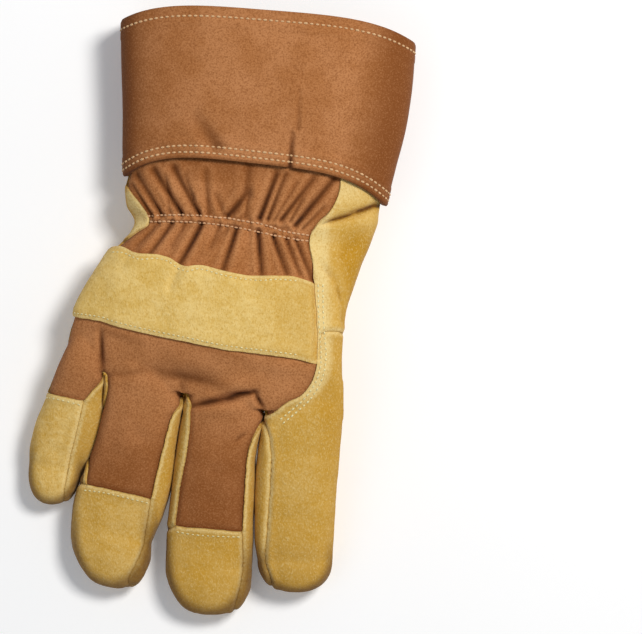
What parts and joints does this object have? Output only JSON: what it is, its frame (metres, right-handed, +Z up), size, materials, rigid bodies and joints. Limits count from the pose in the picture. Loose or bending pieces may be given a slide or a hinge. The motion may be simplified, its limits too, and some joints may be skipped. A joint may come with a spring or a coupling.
{
  "type": "leather-palm work glove with a safety cuff",
  "caption": "Right-hand leather-palm work glove with a canvas back, knuckle strap and stiff safety cuff, lying palm down with the thumb folded under.",
  "frame": {"origin": "middle of the glove's footprint, on the surface that it lies on", "axes": "+X across the hand to the index finger, +Y from the fingertips to the cuff, +Z up out of the back of the hand"},
  "size_m": [0.175, 0.2747, 0.044],
  "materials": {
    "split_leather": "napped split leather",
    "canvas": "matt cotton canvas",
    "cuff_canvas": "stiff rubberised canvas"
  },
  "bodies": {
    "root": {"cuff": "cuff_canvas", "back_upper": "canvas", "knuckle_strap": "split_leather", "back_lower": "canvas", "index_back": "split_leather", "tip_little": "split_leather", "tip_ring": "split_leather", "tip_middle": "split_leather", "fourchette_little_ring": "split_leather", "fourchette_ring_middle": "split_leather", "fourchette_middle_index": "split_leather", "front_ring": "split_leather", "front_middle": "split_leather", "palm": "split_leather", "thumb": "split_leather"}
  },
  "joints": []
}
